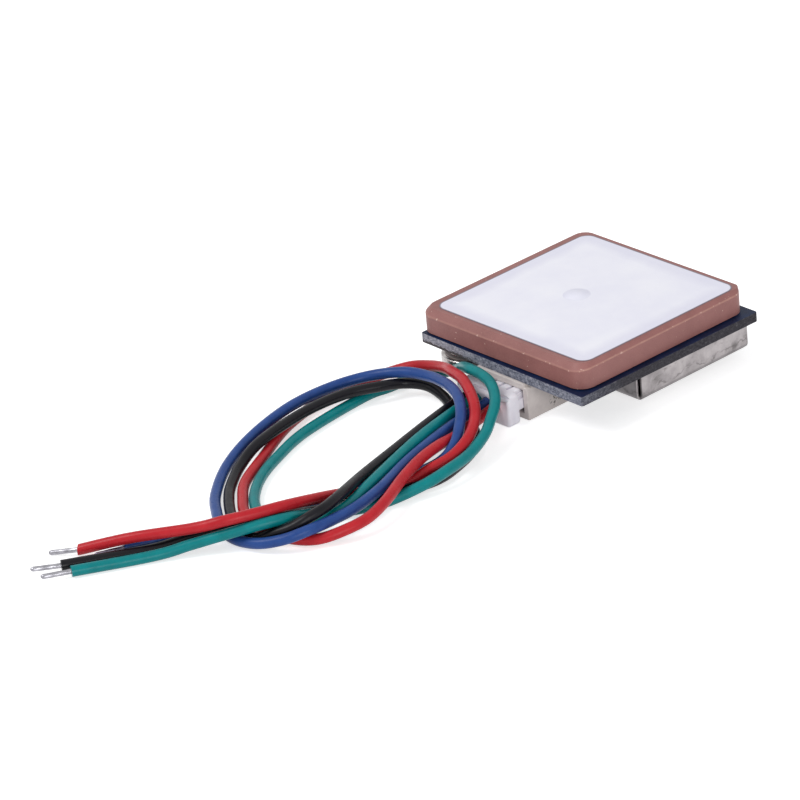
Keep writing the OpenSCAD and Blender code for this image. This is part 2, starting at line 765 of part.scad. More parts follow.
// Flat tab folded up behind the cell to the board
module battery_tab(side, low) {
    leg = cell_r + tab_gap;
    start = -cell_cap_r / 2;
    rise = board_z - low;
    color("#b9b7b0")
        translate([cell_x + side * tab_spread, cell_y, low])
            rotate([90, 0, 90])
                linear_extrude(tab_w, center = true)
                    polygon([
                        [start, 0], [leg + tab_t, 0], [leg + tab_t, rise],
                        [leg, rise], [leg, tab_t], [start, tab_t]
                    ]);
}

module header_housing() {
    color("#b9afa9")
        difference() {
            translate([header_x - header_w / 2, mouth_y, 0])
                cube([header_w, header_d, header_h]);
            translate([header_x - mouth_w / 2, mouth_y - CUT, header_wall])
                cube([mouth_w, mouth_d + CUT, mouth_h]);
            for (i = [0 : contacts - 1])
                translate([
                    contact_x(i) - blade_w / 2 - blade_clear,
                    header_rear - header_back - CUT,
                    contact_z - contact_t / 2 - blade_clear
                ])
                    cube([
                        blade_w + 2 * blade_clear, header_back + 2 * CUT, contact_t + 2 * blade_clear
                    ]);
            for (s = [-1, 1])
                translate([
                    header_x + s * (header_w / 2) - nail_t, header_rear - nail_setback - nail_l,
                    header_h - nail_h
                ])
                    cube([2 * nail_t, nail_l, nail_h + CUT]);
            for (s = [-1, 1])
                translate([header_x + s * (header_w / 2) - notch_w, mouth_y - CUT, header_h - notch_h])
                    cube([2 * notch_w, notch_d + CUT, notch_h + CUT]);
        }
}

// Blade through the rear wall, folded up behind it to a foot on the board
module header_contact(i) {
    low = contact_z - contact_t / 2;
    rise = header_rear + blade_clear;
    foot_t = contact_t / 2;
    color("#cfc9ba")
        translate([contact_x(i), 0, 0])
            rotate([90, 0, 90])
                linear_extrude(blade_w, center = true)
                    polygon([
                        [mouth_y + contact_setback, low],
                        [rise + contact_t, low],
                        [rise + contact_t, board_z - foot_t],
                        [rise + contact_foot, board_z - foot_t],
                        [rise + contact_foot, board_z],
                        [rise, board_z],
                        [rise, low + contact_t],
                        [mouth_y + contact_setback, low + contact_t]
                    ]);
}

// Plate let into the header's side, with a foot on the board beside it
module header_nail(side) {
    color("#cfc9ba")
        translate([header_x, header_rear - nail_setback - nail_l / 2, board_z])
            rotate([90, 0, 0])
                linear_extrude(nail_l, center = true)
                    polygon([
                        [side * (header_w / 2 - nail_t), 0],
                        [side * (header_w / 2 + nail_foot), 0],
                        [side * (header_w / 2 + nail_foot), -nail_t],
                        [side * (header_w / 2), -nail_t],
                        [side * (header_w / 2), -nail_h],
                        [side * (header_w / 2 - nail_t), -nail_h]
                    ]);
}

// Stepped head behind the header, and a nose with guide ribs and tongues inside its mouth
module plug_housing() {
    color("#e9e7ee")
        difference() {
            union() {
                translate([header_x, plug_front, plug_head_h / 2])
                    rotate([90, 0, 0])
                        rounded_plate(plug_head_w, plug_head_h, plug_edge_r, plug_head_d);
                translate([header_x - nose_w / 2, plug_front, nose_low])
                    cube([nose_w, nose_l, nose_h]);
                translate([header_x - tongues_w / 2, plug_front, nose_low])
                    cube([tongues_w, nose_l, tongue_h]);
                for (i = [0 : ribs - 1])
                    translate([
                        header_x + (i - (ribs - 1) / 2) * rib_pitch - rib_w / 2, plug_front, nose_low
                    ])
                        cube([rib_w, nose_l, nose_h + rib_h]);
            }
            translate([
                header_x - plug_head_w / 2 - CUT, plug_rear - CUT, plug_head_h - plug_step_h
            ])
                cube([plug_head_w + 2 * CUT, plug_step_d + CUT, plug_step_h + CUT]);
            for (i = [0 : contacts - 1])
                translate([contact_x(i), 0, contact_z]) {
                    translate([0, plug_rear - CUT, 0])
                        rotate([-90, 0, 0])
                            cylinder(d = barrel_hole_d, h = socket_start - plug_rear + 2 * CUT, $fn = ROUND);
                    translate([-socket_hole / 2, socket_start, -socket_hole / 2])
                        cube([socket_hole, nose_l + plug_head_d + CUT, socket_hole]);
                }
        }
}

// Crimp barrel round the wire's strands, with a square socket for the contact blade
module plug_terminal(i) {
    bore = socket_side - 2 * socket_wall;
    color("#cfc9ba")
        translate([contact_x(i), 0, contact_z])
            difference() {
                union() {
                    translate([0, plug_rear, 0])
                        rotate([-90, 0, 0])
                            cylinder(d = wire_d, h = socket_start - plug_rear, $fn = ROUND);
                    translate([-socket_side / 2, socket_start, -socket_side / 2])
                        cube([socket_side, socket_l, socket_side]);
                }
                translate([-bore / 2, mouth_y + contact_setback - CUT, -bore / 2])
                    cube([bore, socket_l + 2 * CUT, bore]);
            }
}

module wire(i) {
    samples = path(route(i));
    n = len(samples);
    last = end_heading(route(i));
    shell = [for (j = [0 : n - 1]) each ring(samples[j], heading(samples, j, last), wire_d / 2)];
    walls = [
        for (j = [0 : n - 2])
            for (k = [0 : TUBE_SIDES - 1])
                let (a = j * TUBE_SIDES + k, b = j * TUBE_SIDES + (k + 1) % TUBE_SIDES)
                each [[a, b, b + TUBE_SIDES], [a, b + TUBE_SIDES, a + TUBE_SIDES]]
    ];
    start_cap = [for (k = [TUBE_SIDES - 1 : -1 : 0]) k];
    end_cap = [for (k = [0 : TUBE_SIDES - 1]) (n - 1) * TUBE_SIDES + k];
    color(WIRE_COLOURS[i])
        polyhedron(points = shell, faces = concat([start_cap], walls, [end_cap]));
}

// Stripped end of a wire, its strands tinned into one round tip
module tinned_end(i) {
    r = route(i);
    to = end_heading(r);
    color("#b8b8b8")
        translate(r[len(r) - 1])
            rotate([0, 90, atan2(to[1], to[0])])
                union() {
                    cylinder(d = strand_d, h = bare_l - strand_d / 2, $fn = ROUND);
                    translate([0, 0, bare_l - strand_d / 2])
                        sphere(d = strand_d, $fn = ROUND);
                }
}

circuit_board();
adhesive_pad();
antenna_ceramic();
antenna_electrode();
feed_pin();
feed_solder();
feed_joint();
shield_can();
receiver_chip();
low_noise_amplifier();
saw_filter();
reference_oscillator();
clock_crystal();
flash_memory();
rf_inductor();
decoupling_capacitors();
resistors();
bulk_capacitors();
voltage_regulator();
battery_can();
battery_gasket();
battery_cap();
battery_tab(-1, cell_bottom - tab_t);  // battery_tab_lower
battery_tab(1, cell_top);  // battery_tab_upper
header_housing();
header_nail(-1);  // header_nail_left
header_nail(1);  // header_nail_right
plug_housing();
for (i = [0 : contacts - 1]) {
    header_contact(i);
    plug_terminal(i);
    wire(i);
    tinned_end(i);
}
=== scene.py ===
import json
import math

import bmesh
import bpy
from mathutils import Matrix, Vector


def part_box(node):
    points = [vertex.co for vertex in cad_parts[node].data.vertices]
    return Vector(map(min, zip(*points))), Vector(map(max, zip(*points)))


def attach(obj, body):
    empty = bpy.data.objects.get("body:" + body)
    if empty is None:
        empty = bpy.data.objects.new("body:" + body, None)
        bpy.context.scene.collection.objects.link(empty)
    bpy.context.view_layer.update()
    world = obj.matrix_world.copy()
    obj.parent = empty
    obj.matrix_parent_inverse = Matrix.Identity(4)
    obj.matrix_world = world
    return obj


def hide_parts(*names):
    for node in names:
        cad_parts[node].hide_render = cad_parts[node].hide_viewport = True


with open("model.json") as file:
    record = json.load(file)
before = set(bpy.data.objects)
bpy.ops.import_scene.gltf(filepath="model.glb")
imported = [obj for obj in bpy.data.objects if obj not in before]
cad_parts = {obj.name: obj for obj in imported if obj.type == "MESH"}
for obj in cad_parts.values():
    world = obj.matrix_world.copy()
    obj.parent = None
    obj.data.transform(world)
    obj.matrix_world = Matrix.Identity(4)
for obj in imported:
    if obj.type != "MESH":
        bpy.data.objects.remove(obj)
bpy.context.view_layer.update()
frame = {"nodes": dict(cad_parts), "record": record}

MM = 0.001
UP = Vector((0, 0, 1))
BODY = "root"
NODES = frame["nodes"]

# Camera, at the photograph's viewpoint
IMAGE_PX = 800
FOCAL_PX = 5000
SENSOR_MM = 36
VIEW_AZIMUTH = math.radians(49.35)
VIEW_ELEVATION = math.radians(26.28)
VIEW_ROLL = math.radians(-5.27)
VIEW_DISTANCE = 388.56 * MM
VIEW_OFFSET_X = 14.08 * MM
VIEW_OFFSET_Y = 8.04 * MM
CLIP_START = 5 * MM
BLOCK_TOP = Vector((-0.35, 0.05, 5.9)) * MM


def make_camera():
    """Camera turned by azimuth, elevation and roll about the middle of the antenna's top."""
    back = Vector((
        math.sin(VIEW_AZIMUTH) * math.cos(VIEW_ELEVATION),
        -math.cos(VIEW_AZIMUTH) * math.cos(VIEW_ELEVATION),
        math.sin(VIEW_ELEVATION),
    ))
    level = Vector((math.cos(VIEW_AZIMUTH), math.sin(VIEW_AZIMUTH), 0))
    upright = back.cross(level)
    right = level * math.cos(VIEW_ROLL) + upright * math.sin(VIEW_ROLL)
    up = upright * math.cos(VIEW_ROLL) - level * math.sin(VIEW_ROLL)
    eye = BLOCK_TOP - right * VIEW_OFFSET_X - up * VIEW_OFFSET_Y + back * VIEW_DISTANCE
    data = bpy.data.cameras.new("camera")
    data.sensor_width = SENSOR_MM
    data.lens = SENSOR_MM * FOCAL_PX / IMAGE_PX
    data.clip_start = CLIP_START
    camera = bpy.data.objects.new("camera", data)
    turn = Matrix((right, up, back)).transposed()
    camera.matrix_world = Matrix.Translation(eye) @ turn.to_4x4()
    bpy.context.scene.collection.objects.link(camera)
    bpy.context.scene.camera = camera


make_camera()

# Wires: sizes, and the points of each route in millimetres, from the plug to the stripped end
WIRE_D = 0.86 * MM
WIRE_SIDES = 20
CURVE_STEPS = 10
BARE_L = 2.3 * MM
STRAND_D = 0.4 * MM
OUT_OF_PLUG = Vector((0, -1, 0))
ROUTES = {
    "black": [
        (-1.4, -11.5, 1.6), (-1.3, -13, 1.55), (-0.6, -16.7, 1.45), (0.6, -21.3, 1.45),
        (2, -25.7, 1.65), (3.9, -29.5, 2.3), (4.6, -31.7, 2.35), (4.5, -33.3, 2.1),
        (3.8, -34.6, 1.5), (2.7, -35.5, 1), (1.6, -36.1, 0.55), (0.4, -36.3, 0.5),
        (-1.2, -35.8, 0.5), (-3, -34.7, 0.5), (-4.8, -33.3, 0.5), (-6.3, -31.8, 0.5),
        (-7.9, -29.4, 0.75), (-8.8, -26.5, 1.35), (-9.7, -21.3, 1.45), (-9.5, -17.2, 1.45),
        (-8.4, -14.3, 1.35), (-7.6, -12.4, 1.1), (-6.2, -11.5, 0.95), (-4.5, -11.5, 0.65),
        (-2.6, -12.2, 0.5), (-0.4, -12.9, 0.5), (2, -14.2, 0.5), (3.8, -16.1, 0.5),
        (4.9, -18.8, 0.5), (5.3, -21.5, 0.5), (4.4, -24.7, 0.5), (3.5, -26.8, 0.5),
        (2.5, -29.1, 0.5), (1.8, -31.3, 0.75), (1.7, -33.5, 1.4), (1.2, -35.4, 1.5),
        (0.1, -37.5, 1.5), (-1.9, -39.7, 0.95), (-3.4, -42.2, 0.5), (-6.8, -48, 0.5),
    ],
    "green": [
        (-0.4, -11.5, 1.6), (-0.3, -13.2, 1.7), (0.9, -18.9, 1.65), (2.9, -25.2, 1.5),
        (4, -28.6, 1.35), (4.4, -30.6, 1.35), (3.9, -32.2, 1), (2.9, -33.4, 0.6),
        (1.4, -33.9, 0.5), (-0.3, -33.8, 0.5), (-1.9, -33.1, 0.5), (-3.7, -31.7, 0.5),
        (-5.5, -29.5, 0.5), (-7, -26.6, 0.5), (-8.6, -22.1, 0.5), (-9.4, -15.4, 0.5),
        (-9.1, -13, 0.5), (-8.8, -11, 0.5), (-7.9, -9.4, 0.6), (-6.4, -8.8, 1.1), (-4.8, -9.3, 2),
        (-3.5, -10, 2.8), (-1.9, -10.8, 3.45), (-0.2, -11.1, 3.55), (1.4, -11.6, 3.4),
        (3, -12.8, 2.95), (4.1, -14.4, 2.4), (5, -16, 1.95), (5.7, -18.3, 1.5), (6.1, -21.1, 1.35),
        (5.8, -23.4, 0.95), (4.8, -26.5, 0.5), (3.4, -29.5, 0.55), (2.7, -31.8, 1.1),
        (2.9, -34, 1.8), (2.3, -35.9, 1.9), (1.1, -37.7, 1.6), (-0.9, -40.2, 0.95),
        (-2.5, -42.7, 0.5), (-5.5, -48.1, 0.5),
    ],
    "blue": [
        (0.6, -11.5, 1.6), (0.9, -13.7, 1.55), (1.5, -17.4, 1.45), (2.7, -21.8, 1.45),
        (4.4, -26.1, 1.5), (5.2, -29.4, 1.5), (5.3, -31.8, 1.5), (5.1, -34.2, 1.5),
        (4.1, -35.8, 1.1), (2.4, -36.9, 0.7), (0.2, -37.2, 0.5), (-1.8, -36.6, 0.5),
        (-3.9, -35.3, 0.5), (-6.2, -33.4, 0.5), (-8.8, -30, 0.65), (-10.4, -26.1, 1.05),
        (-11.3, -21.5, 1.4), (-11.4, -17.4, 1.4), (-10.2, -14.2, 1.6), (-7.6, -12.6, 2.15),
        (-5.1, -12.2, 2.4), (-3.2, -12.6, 2.7), (-1.5, -13.2, 2.95), (0.3, -14.1, 3),
        (1.7, -15.2, 2.75), (2.7, -16.3, 2.35), (3.7, -17.8, 1.65), (3.9, -19.3, 0.95),
        (3.4, -20.8, 0.5), (2.7, -22.9, 0.5), (1.7, -25.6, 0.5), (1, -28.2, 0.5),
        (0.6, -31.2, 0.7), (0.7, -33.5, 1.35), (0.1, -35.5, 1.5), (-0.9, -37.3, 1.45),
        (-3.2, -39.2, 0.75), (-4.3, -41.3, 0.5), (-5.2, -43.3, 0.5),
    ],
    "red": [
        (1.6, -11.5, 1.6), (2.1, -14.1, 1.5), (2.4, -16.4, 1.3), (3, -18.8, 1.65),
        (3.7, -21.4, 1.75), (4.8, -24.3, 1.65), (6.2, -27.3, 1.5), (6.8, -29.7, 1.25),
        (6.4, -31.8, 0.95), (5.4, -33.4, 0.6), (3.9, -34.4, 0.5), (1.9, -34.8, 0.5),
        (-0.3, -34.8, 0.5), (-2.2, -34, 0.5), (-3.9, -32.7, 0.5), (-5.9, -30.7, 0.5),
        (-7.9, -27.2, 0.5), (-10.4, -22.4, 0.5), (-11.7, -17.4, 0.5), (-11.7, -14.1, 0.5),
        (-11, -11.8, 0.6), (-9.3, -10.4, 1.25), (-7.4, -10, 1.75), (-5.4, -10.3, 2.3),
        (-3.3, -11.3, 2.95), (-0.8, -12.4, 3.35), (1.9, -14, 3.05), (3.4, -15.4, 2.5),
        (4.5, -17.2, 2.05), (4.8, -19.2, 1.45), (4.3, -21.1, 0.95), (3.8, -23.6, 0.5),
        (2.5, -26.4, 0.6), (2.3, -28.6, 1.3), (2.3, -33.2, 2.4), (1.6, -36.1, 2.6),
        (0.5, -38.2, 2.5), (-1.2, -39.8, 2), (-4.5, -43.1, 1.5), (-7.7, -45.6, 0.5),
    ],
}


def smooth_path(points, steps):
    """Points of a smooth curve through the route, with its end directions carried on."""
    way = [2 * points[0] - points[1]] + points + [2 * points[-1] - points[-2]]
    out = []
    for a, b, c, d in zip(way, way[1:], way[2:], way[3:]):
        for s in range(steps):
            t = s / steps
            out.append(
                b + (c - a) * (t / 2)
                + (2 * a - 5 * b + 4 * c - d) * (t ** 2 / 2)
                + (3 * b - 3 * c + d - a) * (t ** 3 / 2)
            )
    return out + [points[-1]]


# Angles past which an edge stays sharp to the eye
SHARP_DEG = 35
TUBE_SHARP_DEG = 60
BLOCK_SHARP_DEG = 20


def add_mesh(name, bm, sharp_deg=SHARP_DEG):
    """New riding piece from bm, smooth apart from edges sharper than the angle."""
    mesh = bpy.data.meshes.new(name)
    bmesh.ops.recalc_face_normals(bm, faces=bm.faces)
    bm.to_mesh(mesh)
    bm.free()
    mesh.polygons.foreach_set("use_smooth", [True] * len(mesh.polygons))
    mesh.set_sharp_from_angle(angle=math.radians(sharp_deg))
    piece = bpy.data.objects.new(name, mesh)
    bpy.context.scene.collection.objects.link(piece)
    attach(piece, BODY)
    return piece


def bridge(bm, rows):
    """Faces between each ring of points and the next."""
    for near, away in zip(rows, rows[1:]):
        for k in range(len(near)):
            n = (k + 1) % len(near)
            bm.faces.new((near[k], near[n], away[n], away[k]))


def loft(bm, rings):
    """Closed skin through rings of equal length, with a face on each end."""
    rows = [[bm.verts.new(p) for p in ring] for ring in rings]
    bridge(bm, rows)
    bm.faces.new(list(reversed(rows[0])))
    bm.faces.new(rows[-1])


def across(along):
    """Level and upright directions square to a direction."""
    side = along.cross(UP).normalized()
    return side, side.cross(along)


# Stripped end: twisted strands under a skin of tin
TIP_SIDES = 42
TIP_RINGS = 40
TIP_STRANDS = 7
TIP_TWIST_RAD = 2.4
TIP_GROOVE_SHARE = 0.05
TIP_POINT_SHARE = 0.12
TIP_BLUNT_SHARE = 0.05
TIP_RISE = {"black": 0.12 * MM, "green": 0.0, "blue": -0.05 * MM, "red": -0.28 * MM}


def tinned_tip(name, start, along, rise):
    """Round tip of twisted strands along a level direction, bent up by a rise."""
    side, up = across(along)
    rings = []
    for j in range(TIP_RINGS + 1):
        t = j / TIP_RINGS
        left = min(1.0, (1 - t) / TIP_POINT_SHARE)
        taper = math.sqrt(max(TIP_BLUNT_SHARE, 1 - (1 - left) ** 2))
        middle = start + along * (BARE_L * t) + UP * (rise * t)
        ring = []
        for k in range(TIP_SIDES):
            a = 2 * math.pi * k / TIP_SIDES
            ridge = abs(math.sin(TIP_STRANDS / 2 * (a + TIP_TWIST_RAD * t)))
            r = STRAND_D / 2 * taper * (1 - TIP_GROOVE_SHARE * (1 - ridge))
            ring.append(middle + side * (r * math.cos(a)) + up * (r * math.sin(a)))
        rings.append(ring)
    bm = bmesh.new()
    loft(bm, rings)
    return add_mesh(name, bm, TUBE_SHARP_DEG)


def insulation(name, line, last):
    """Round tube along a line, square to the plug at its start and level at its end."""
    rings = []
    for j, at in enumerate(line):
        if j == 0:
            along = OUT_OF_PLUG
        elif j == len(line) - 1:
            along = last
        else:
            along = (line[j + 1] - line[j - 1]).normalized()
        side, up = across(along)
        ring = []
        for k in range(WIRE_SIDES):
            a = 2 * math.pi * k / WIRE_SIDES
            ring.append(at + (side * math.cos(a) + up * math.sin(a)) * (WIRE_D / 2))
        rings.append(ring)
    bm = bmesh.new()
    loft(bm, rings)
    return add_mesh(name, bm, TUBE_SHARP_DEG)


def make_wires():
    """Insulated wires and their tinned tips, with the line that each wire follows."""
    wires, tips, lines = {}, {}, {}
    for colour, route in ROUTES.items():
        points = [Vector(p) * MM for p in route]
        lines[colour] = smooth_path(points, CURVE_STEPS)
        last = points[-1] - points[-2]
        last.z = 0
        last.normalize()
        wires[colour] = insulation(f"insulation_{colour}", lines[colour], last)
        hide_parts(f"wire_{colour}")
        tips[colour] = tinned_tip(f"tip_{colour}", points[-1], last, TIP_RISE[colour])
        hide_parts(f"tinned_end_{colour}")
    return wires, tips, lines


wires, tips, lines = make_wires()

SLOT_OF = {s["node"]: s["material_slot"] for s in frame["record"]["subparts"]}

# Board: the places of its three seen corners
BOARD_LOW, BOARD_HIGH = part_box("circuit_board")
LEFT_CORNER = Vector((-9.06, -9.15)) * MM
NEAR_CORNER = Vector((9.08, -9.48)) * MM
RIGHT_CORNER = Vector((9.4, 9.5)) * MM


def turned_board(at):
    """Place of a board's point as it lies under the block, about a degree askew."""
    u = (at.x - BOARD_LOW.x) / (BOARD_HIGH.x - BOARD_LOW.x)
    v = (at.y - BOARD_LOW.y) / (BOARD_HIGH.y - BOARD_LOW.y)
    flat = LEFT_CORNER + (NEAR_CORNER - LEFT_CORNER) * u + (RIGHT_CORNER - NEAR_CORNER) * v
    return Vector((flat.x, flat.y, at.z))


# Print: how far its right and front borders move out, and how far from the middle they begin
PRINT_WIDER = 0.18 * MM
PRINT_LONGER = 0.13 * MM
PRINT_RIM = 5 * MM


def widened_print(at):
    """Place of a print's point, with the right and front borders as narrow as they are seen."""
    x = at.x + PRINT_WIDER if at.x > PRINT_RIM else at.x
    y = at.y - PRINT_LONGER if at.y < -PRINT_RIM else at.y
    return Vector((x, y, at.z))


# Softened copies of the rigid solids
WELD_DISTANCE = 1e-7
FLAT_DEG = 0.5
FOLD_DEG = 30
REAR_ROUND = 0.26 * MM
REAR_STEPS = 6
REAR_BORDER = 0.46 * MM
REAR_DEPTH = REAR_BORDER / 100


def round_edges(bm, edges, width, segments, clamp=True):
    """Rounds edges by a width, in a number of steps."""
    bmesh.ops.bevel(
        bm, geom=edges, offset=width, offset_type="OFFSET", segments=segments, profile=0.5,
        affect="EDGES", clamp_overlap=clamp, loop_slide=False,
    )


def sharp_edges(bm):
    """Edges where the surface folds."""
    limit = math.radians(FOLD_DEG)
    return [e for e in bm.edges if len(e.link_faces) == 2 and e.calc_face_angle() > limit]


def roll_rear(bm):
    """Rounds the outline of the plug's rear face more than its other edges, its holes apart."""
    low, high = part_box("plug_housing")

    def on_border(at):
        by_a_side = min(at.x - low.x, high.x - at.x) < REAR_BORDER
        by_top_or_foot = min(at.z - low.z, high.z - at.z) < REAR_BORDER
        return at.y < low.y + REAR_DEPTH and (by_a_side or by_top_or_foot)

    outline = [e for e in sharp_edges(bm) if all(on_border(v.co) for v in e.verts)]
    round_edges(bm, outline, REAR_ROUND, REAR_STEPS, clamp=False)


def put_in_order(bm):
    """Sorts points, edges and faces by place, since rounding lists them otherwise each run."""
    by_place = sorted(bm.verts, key=lambda v: tuple(v.co))
    number = {v: i for i, v in enumerate(by_place)}
    bm.verts.sort(key=number.get)
    for row in (bm.edges, bm.faces):
        by_points = sorted(row, key=lambda e: sorted(number[v] for v in e.verts))
        rank = {e: i for i, e in enumerate(by_points)}
        row.sort(key=rank.get)


def softened(node, width=0.0, segments=2, first=None, placed=None):
    """Copy of a solid with its sharp edges rounded, standing for the solid."""
    bm = bmesh.new()
    bm.from_mesh(NODES[node].data)
    bmesh.ops.remove_doubles(bm, verts=bm.verts, dist=WELD_DISTANCE)
    bmesh.ops.dissolve_limit(
        bm, angle_limit=math.radians(FLAT_DEG), verts=bm.verts, edges=bm.edges,
        use_dissolve_boundaries=False,
    )
    if first:
        first(bm)
    if width:
        round_edges(bm, sharp_edges(bm), width, segments)
    if placed:
        for v in bm.verts:
            v.co = placed(v.co)
    put_in_order(bm)
    piece = add_mesh(f"{node}_body", bm)
    normals = piece.modifiers.new("flat_faces", "WEIGHTED_NORMAL")
    normals.keep_sharp = True
    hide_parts(node)
    return piece


SOFTENED = {
    "shield_can": dict(width=0.02 * MM),
    "header_housing": dict(width=0.05 * MM, segments=3),
    "battery_can": dict(width=0.05 * MM),
    "battery_cap": dict(width=0.06 * MM, segments=3),
    "plug_housing": dict(width=0.1 * MM, segments=3, first=roll_rear),
    "antenna_electrode": dict(placed=widened_print),
    "circuit_board": dict(width=0.03 * MM, placed=turned_board),
}
bodies = {node: softened(node, **how) for node, how in SOFTENED.items()}

# Ceramic block: bevel of each side, in the order left, front, right, far
BEVEL_INSET = (0.38 * MM, 0.4 * MM, 0.36 * MM, 0.1 * MM)
BEVEL_DROP = (0.4 * MM, 0.58 * MM, 0.36 * MM, 0.25 * MM)
BLOCK_CORNERS = (1.3 * MM, 1.3 * MM, 1.2 * MM, 1.3 * MM)
TOP_CORNERS = (1.0 * MM, 1.0 * MM, 0.6 * MM, 1.0 * MM)
CORNER_STEPS = 12
BORE_GAP = 0.05 * MM

# Band along the bevel's lower edge that carries its chips and a painted highlight: reach down the
# wall, and shares of the way up the bevel
CHIPS_AND_HIGHLIGHT_HALF = 0.03 * MM
CHIPS_AND_HIGHLIGHT_FADE = 3 * CHIPS_AND_HIGHLIGHT_HALF
BEVEL_CHIPS_AND_HIGHLIGHT = 0.07
BEVEL_BAND_END = 0.22
BEVEL_CREST = 0.94


def block_ring(reach, corners, heights):
    """Rounded rectangle from the left side round by the front, with each side at its own height."""
    left, front, right, far = reach
    turns = [(left, front, 1, 1), (right, front, -1, 1), (right, far, -1, -1), (left, far, 1, -1)]
    ring = []
    for i, (x, y, to_x, to_y) in enumerate(turns):
        r = corners[i]
        for k in range(CORNER_STEPS + 1):
            t = k / CORNER_STEPS
            a = math.pi + math.pi / 2 * (i + t)
            on_x = x + to_x * r + r * math.cos(a)
            on_y = y + to_y * r + r * math.sin(a)
            z = heights[i] * (1 - t) + heights[(i + 1) % 4] * t
            ring.append(Vector((on_x, on_y, z)))
    return ring


def ceramic_block():
    """Bevelled block with a bore for the feed pin and a band along the bevel's lower edge for its
    chips and its painted highlight.
    """
    low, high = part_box("antenna_ceramic")
    pin_low, pin_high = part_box("feed_pin")
    pin = (pin_low + pin_high) / 2
    bore_r = (pin_high.x - pin_low.x) / 2 + BORE_GAP
    into = (1, 1, -1, -1)
    sides = (low.x, low.y, high.x, high.y)
    bevel_foot = [high.z - drop for drop in BEVEL_DROP]

    def bevel_ring(t):
        reach = [c + sign * inset * t for c, sign, inset in zip(sides, into, BEVEL_INSET)]
        corners = [r + (end - r) * t for r, end in zip(BLOCK_CORNERS, TOP_CORNERS)]
        heights = [z + drop * t for z, drop in zip(bevel_foot, BEVEL_DROP)]
        return block_ring(reach, corners, heights)

    def bore_ring(z, like):
        ring = []
        for at in like:
            a = math.atan2(at.y - pin.y, at.x - pin.x)
            ring.append(Vector((pin.x + bore_r * math.cos(a), pin.y + bore_r * math.sin(a), z)))
        return ring

    def wall_ring(below):
        return block_ring(sides, BLOCK_CORNERS, [z - below for z in bevel_foot])

    foot = block_ring(sides, BLOCK_CORNERS, [low.z] * 4)
    top = bevel_ring(1.0)
    rings_and_band_share = [
        (bore_ring(low.z, foot), 0), (foot, 0),
        (wall_ring(CHIPS_AND_HIGHLIGHT_FADE), 0), (wall_ring(CHIPS_AND_HIGHLIGHT_HALF), 1),
        (bevel_ring(BEVEL_CHIPS_AND_HIGHLIGHT), 1), (bevel_ring(BEVEL_BAND_END), 0), (bevel_ring(BEVEL_CREST), 0),
        (top, 0), (bore_ring(high.z, top), 0),
    ]
    bm = bmesh.new()
    # Each point keeps its share of the band of chips and painted highlight along the bevel's lower
    # edge
    chips_and_highlight = bm.verts.layers.float.new("chips_and_highlight")
    rows = []
    for ring, band_share in rings_and_band_share:
        row = [bm.verts.new(at) for at in ring]
        for v in row:
            v[chips_and_highlight] = band_share
        rows.append(row)
    bridge(bm, rows + rows[:1])
    piece = add_mesh("antenna_ceramic_body", bm, BLOCK_SHARP_DEG)
    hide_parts("antenna_ceramic")
    return piece


bodies["antenna_ceramic"] = ceramic_block()

# Solder dome on the print
DOME_R = 1.1 * MM
DOME_H = 0.2 * MM
DOME_FALL = 1.5
DOME_RINGS = 16
DOME_SIDES = 64


def feed_dome():
    """Low dome of solder that runs out flat on the print, with a recess for the pin's head."""
    low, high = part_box("feed_solder")
    pin_low, pin_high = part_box("feed_pin")
    middle = (low + high) / 2
    pin_r = (pin_high.x - pin_low.x) / 2
    turns = [2 * math.pi * k / DOME_SIDES for k in range(DOME_SIDES)]

    def circle(r, z):
        return [Vector((middle.x + r * math.cos(a), middle.y + r * math.sin(a), z)) for a in turns]

    rings = [circle(pin_r, pin_high.z), circle(pin_r, low.z)]
    for k in range(DOME_RINGS):
        share = 1 - k / DOME_RINGS
        rise = DOME_H * (1 - share ** 2) ** DOME_FALL
        rings.append(circle(DOME_R * share, low.z + rise))
    bm = bmesh.new()
    loft(bm, rings)
    piece = add_mesh("feed_solder_body", bm)
    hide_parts("feed_solder")
    return piece


bodies["feed_solder"] = feed_dome()


# Materials, and the numbers of the colour sockets on a Mix node
MIX_COLOUR_A = 6
MIX_COLOUR_B = 7
MIX_COLOUR_OUT = 2


